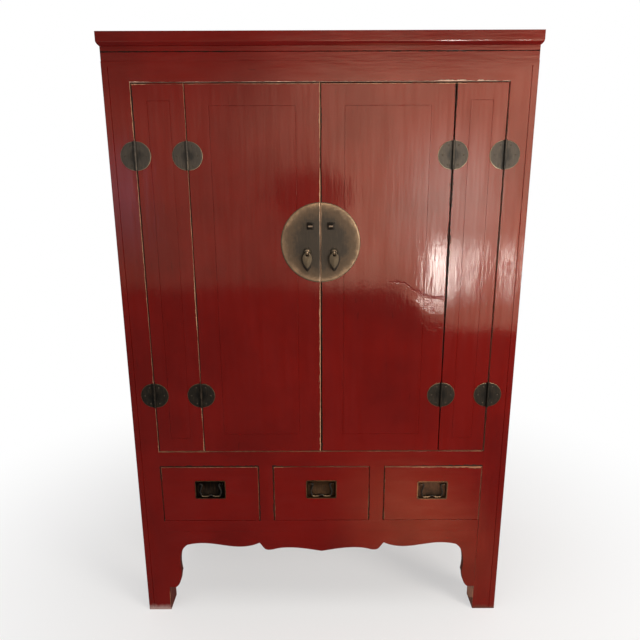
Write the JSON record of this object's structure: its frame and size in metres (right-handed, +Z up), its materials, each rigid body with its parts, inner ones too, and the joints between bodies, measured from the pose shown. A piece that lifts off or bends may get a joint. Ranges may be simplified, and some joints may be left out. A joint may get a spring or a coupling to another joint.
{
  "type": "chinese wedding cabinet",
  "caption": "Tall lacquered cabinet on post feet, with folding doors on round hinges, a round lock plate, drawers with recessed bail pulls and a curved apron.",
  "frame": {"origin": "on the floor, in the middle of the space that the cabinet takes", "axes": "+Z up, -Y towards the front, where the doors are, +X to the right as seen from the front"},
  "size_m": [1.193, 0.5701, 1.806],
  "materials": {
    "red_lacquer": "deep red gloss lacquer, rubbed through at the edges",
    "inside_wood": "bare aged softwood",
    "back_wood": "bare wood with a thin dark stain",
    "hinge_brass": "aged brass, nearly black, rims rubbed bright",
    "lock_brass": "aged brass, brown in the middle, rim rubbed gold",
    "pull_brass": "aged brass, handled bright",
    "drawer_brass": "blackened brass, borders rubbed gold"
  },
  "bodies": {
    "case": {"front_left_post": "red_lacquer", "front_right_post": "red_lacquer", "back_left_post": "red_lacquer", "back_right_post": "red_lacquer", "header_rail": "red_lacquer", "middle_rail": "red_lacquer", "lower_rail": "red_lacquer", "drawer_dividers": "red_lacquer", "apron": "red_lacquer", "cap_frame": "red_lacquer", "cap_panel": "red_lacquer", "frieze_boards": "red_lacquer", "side_rails": "red_lacquer", "side_panels": "red_lacquer", "back_rails": "back_wood", "back_panels": "back_wood", "cupboard_floor": "inside_wood", "shelf": "inside_wood", "shelf_bearers": "inside_wood", "drawer_runners": "inside_wood", "door_stop_strip": "inside_wood", "post_hinge_plates": "hinge_brass", "post_hinge_fasteners": "hinge_brass"},
    "left_leaf": {"left_leaf_frame": "red_lacquer", "left_leaf_panel": "red_lacquer", "left_leaf_hinge_plates": "hinge_brass", "left_leaf_hinge_fasteners": "hinge_brass"},
    "left_door": {"left_door_frame": "red_lacquer", "left_door_panel": "red_lacquer", "left_door_hinge_plates": "hinge_brass", "left_door_hinge_nails": "hinge_brass", "left_lock_plate": "lock_brass", "left_lock_staple": "pull_brass", "left_pull_eye": "pull_brass"},
    "left_pull": {"left_drop_pull": "pull_brass"},
    "right_leaf": {"right_leaf_frame": "red_lacquer", "right_leaf_panel": "red_lacquer", "right_leaf_hinge_plates": "hinge_brass", "right_leaf_hinge_fasteners": "hinge_brass"},
    "right_door": {"right_door_frame": "red_lacquer", "right_door_panel": "red_lacquer", "right_door_hinge_plates": "hinge_brass", "right_door_hinge_nails": "hinge_brass", "right_lock_plate": "lock_brass", "right_lock_staple": "pull_brass", "right_pull_eye": "pull_brass"},
    "right_pull": {"right_drop_pull": "pull_brass"},
    "left_drawer": {"left_drawer_front": "red_lacquer", "left_drawer_box": "inside_wood", "left_drawer_pull_plate": "drawer_brass"},
    "left_bail": {"left_drawer_bail": "drawer_brass"},
    "middle_drawer": {"middle_drawer_front": "red_lacquer", "middle_drawer_box": "inside_wood", "middle_drawer_pull_plate": "drawer_brass"},
    "middle_bail": {"middle_drawer_bail": "drawer_brass"},
    "right_drawer": {"right_drawer_front": "red_lacquer", "right_drawer_box": "inside_wood", "right_drawer_pull_plate": "drawer_brass"},
    "right_bail": {"right_drawer_bail": "drawer_brass"}
  },
  "joints": [
    {"name": "left_leaf_hinge", "type": "hinge", "parent": "case", "child": "left_leaf", "pos_m": [-0.514, -0.26915, 1.134], "axis": [0, 0, -1], "range_deg": [0, 110]},
    {"name": "left_door_hinge", "type": "hinge", "parent": "left_leaf", "child": "left_door", "pos_m": [-0.3702, -0.26915, 1.134], "axis": [0, 0, -1], "range_deg": [0, 140]},
    {"name": "left_pull_swing", "type": "hinge", "parent": "left_door", "child": "left_pull", "pos_m": [-0.039, -0.27775, 1.221], "axis": [-1, 0, 0], "range_deg": [-8, 100]},
    {"name": "right_leaf_hinge", "type": "hinge", "parent": "case", "child": "right_leaf", "pos_m": [0.514, -0.26915, 1.134], "axis": [0, 0, 1], "range_deg": [0, 110]},
    {"name": "right_door_hinge", "type": "hinge", "parent": "right_leaf", "child": "right_door", "pos_m": [0.3702, -0.26915, 1.134], "axis": [0, 0, 1], "range_deg": [0, 140]},
    {"name": "right_pull_swing", "type": "hinge", "parent": "right_door", "child": "right_pull", "pos_m": [0.039, -0.27775, 1.221], "axis": [-1, 0, 0], "range_deg": [-8, 100]},
    {"name": "left_drawer_slide", "type": "slide", "parent": "case", "child": "left_drawer", "axis": [0, -1, 0], "range_m": [0, 0.4]},
    {"name": "left_bail_swing", "type": "hinge", "parent": "left_drawer", "child": "left_bail", "pos_m": [-0.35845, -0.26245, 0.474], "axis": [-1, 0, 0], "range_deg": [0, 95]},
    {"name": "middle_drawer_slide", "type": "slide", "parent": "case", "child": "middle_drawer", "axis": [0, -1, 0], "range_m": [0, 0.4]},
    {"name": "middle_bail_swing", "type": "hinge", "parent": "middle_drawer", "child": "middle_bail", "pos_m": [0, -0.26245, 0.474], "axis": [-1, 0, 0], "range_deg": [0, 95]},
    {"name": "right_drawer_slide", "type": "slide", "parent": "case", "child": "right_drawer", "axis": [0, -1, 0], "range_m": [0, 0.4]},
    {"name": "right_bail_swing", "type": "hinge", "parent": "right_drawer", "child": "right_bail", "pos_m": [0.35845, -0.26245, 0.4695], "axis": [-1, 0, 0], "range_deg": [0, 95]}
  ]
}
